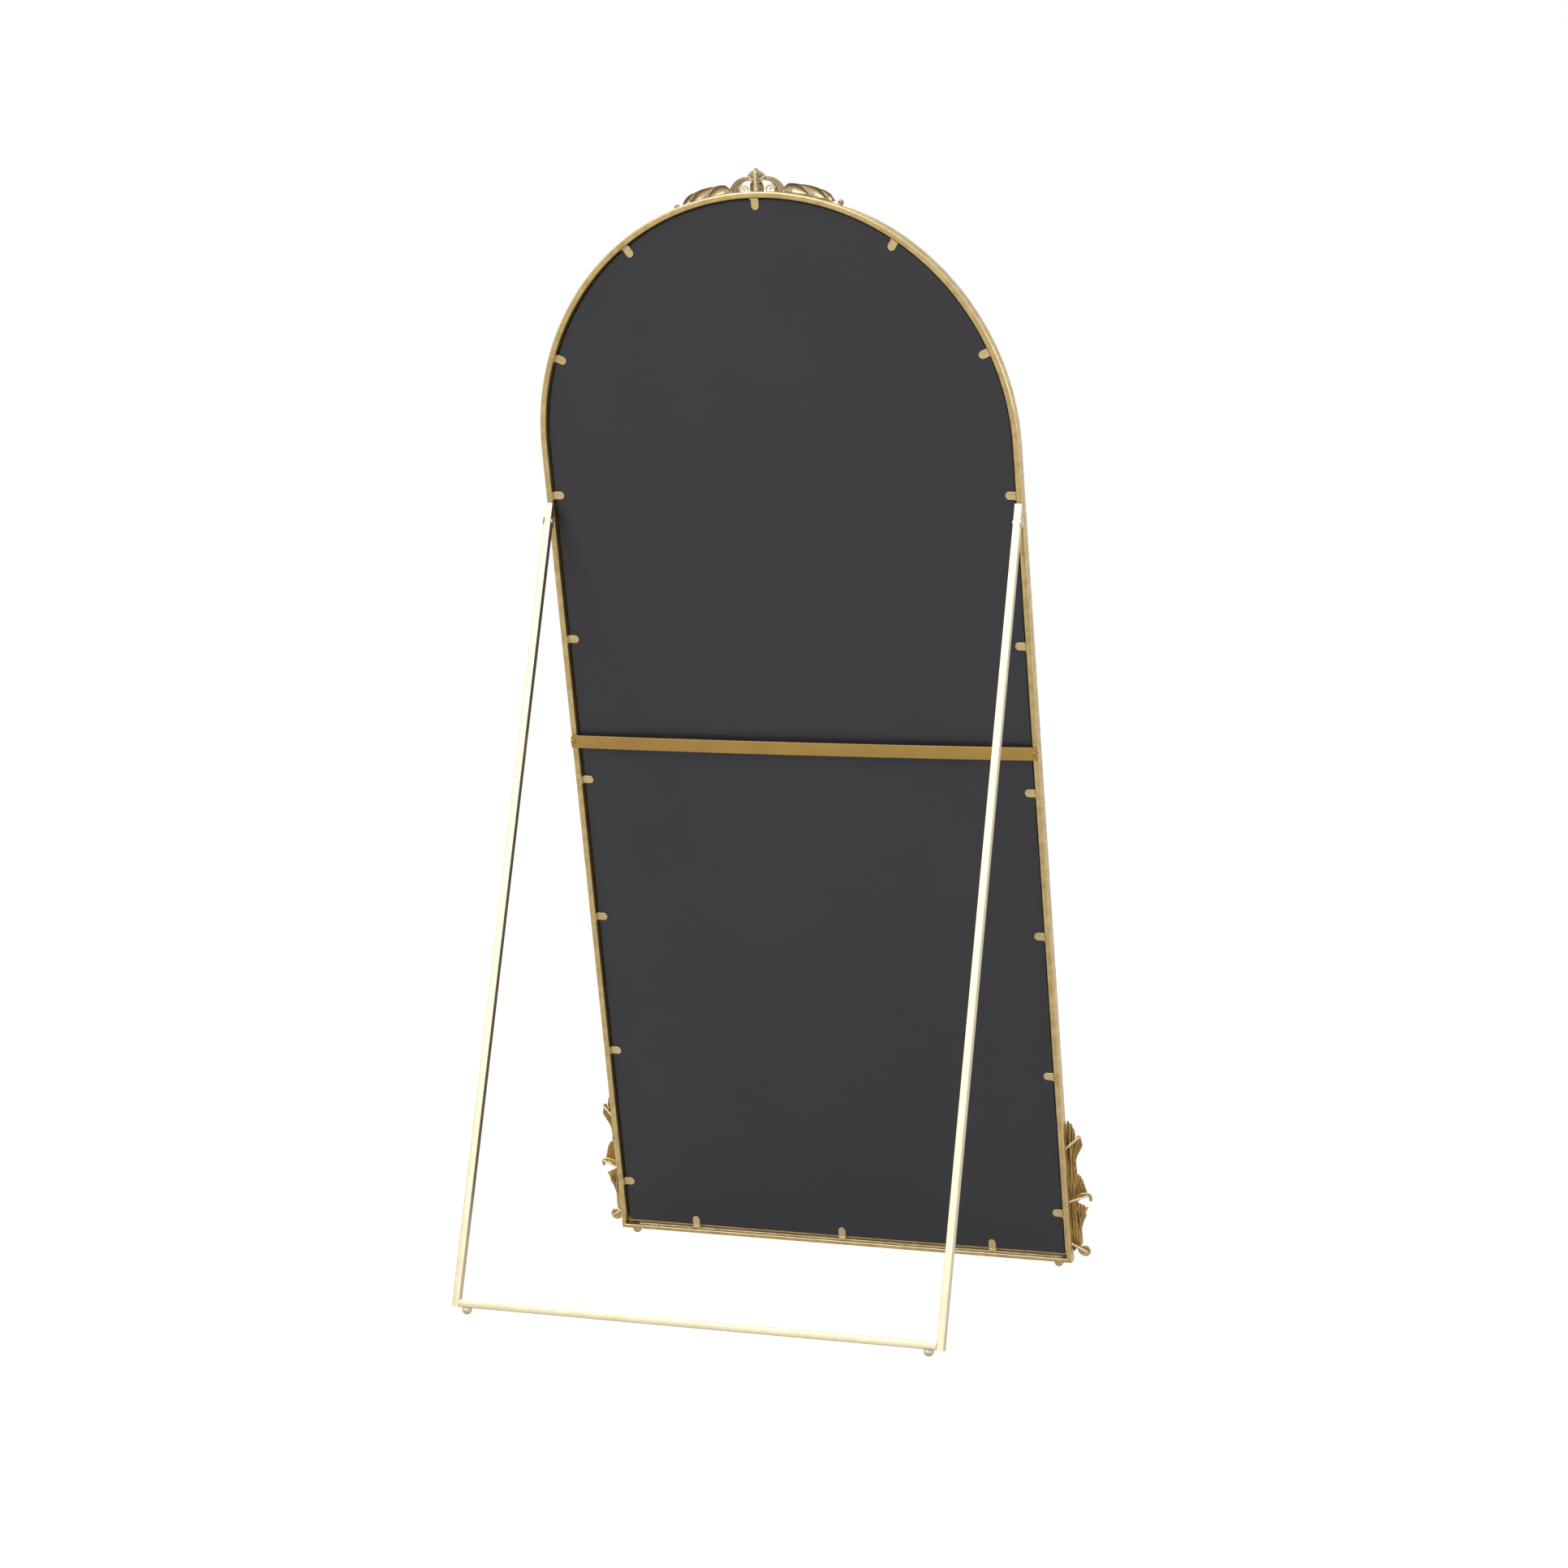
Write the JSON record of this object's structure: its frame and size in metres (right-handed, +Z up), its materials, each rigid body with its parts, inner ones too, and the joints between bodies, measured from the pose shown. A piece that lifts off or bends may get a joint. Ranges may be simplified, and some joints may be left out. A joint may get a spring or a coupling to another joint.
{
  "type": "leaning floor mirror",
  "caption": "Full-length arched floor mirror in a slim gilt metal frame with cast acanthus crest and corner ornaments, leaning on a fold-out U-shaped stand hinged to its back.",
  "frame": {"origin": "on the floor, below the middle of the object's bounding box", "axes": "+Z up, -Y the way the glass faces, +X to the right of someone who looks into the mirror"},
  "size_m": [0.8302, 0.6466, 1.6753],
  "materials": {
    "antique_gold": "mottled antique gold leaf look, satin, on steel and iron",
    "ochre_gold": "plain ochre gold, satin",
    "mirror_glass": "silvered float glass, polished edge",
    "rear_backing": "dark grey protective backing, semi-gloss"
  },
  "bodies": {
    "mirror": {"frame_arch": "antique_gold", "frame_bottom_rail": "antique_gold", "mirror_glass": "mirror_glass", "rear_backing": "rear_backing", "clip_right_1": "antique_gold", "clip_left_1": "antique_gold", "clip_right_2": "antique_gold", "clip_left_2": "antique_gold", "clip_right_3": "antique_gold", "clip_left_3": "antique_gold", "clip_right_4": "antique_gold", "clip_left_4": "antique_gold", "clip_right_5": "antique_gold", "clip_left_5": "antique_gold", "clip_right_6": "antique_gold", "clip_left_6": "antique_gold", "clip_arch_1": "antique_gold", "clip_arch_2": "antique_gold", "clip_arch_3": "antique_gold", "clip_arch_4": "antique_gold", "clip_arch_5": "antique_gold", "clip_bottom_1": "antique_gold", "clip_bottom_2": "antique_gold", "clip_bottom_3": "antique_gold", "cross_strap": "ochre_gold", "strap_screw_right": "ochre_gold", "strap_screw_left": "ochre_gold", "hinge_ear_right": "antique_gold", "frame_foot_right": "antique_gold", "hinge_ear_left": "antique_gold", "frame_foot_left": "antique_gold", "crest_casting": "antique_gold", "crest_rod": "antique_gold", "side_casting_right": "antique_gold", "side_rod_right_1": "antique_gold", "side_rod_right_2": "antique_gold", "side_rod_right_3": "antique_gold", "side_casting_left": "antique_gold", "side_rod_left_1": "antique_gold", "side_rod_left_2": "antique_gold", "side_rod_left_3": "antique_gold"},
    "stand": {"stand_leg_right": "antique_gold", "pivot_bolt_right": "antique_gold", "pivot_nut_right": "antique_gold", "stand_foot_right": "antique_gold", "stand_leg_left": "antique_gold", "pivot_bolt_left": "antique_gold", "pivot_nut_left": "antique_gold", "stand_foot_left": "antique_gold", "stand_rail": "antique_gold"}
  },
  "joints": [
    {"name": "stand_hinge", "type": "hinge", "parent": "mirror", "child": "stand", "pos_m": [0, -0.02091, 1.15862], "axis": [-1, 0, 0], "range_deg": [0, 29.4]}
  ]
}
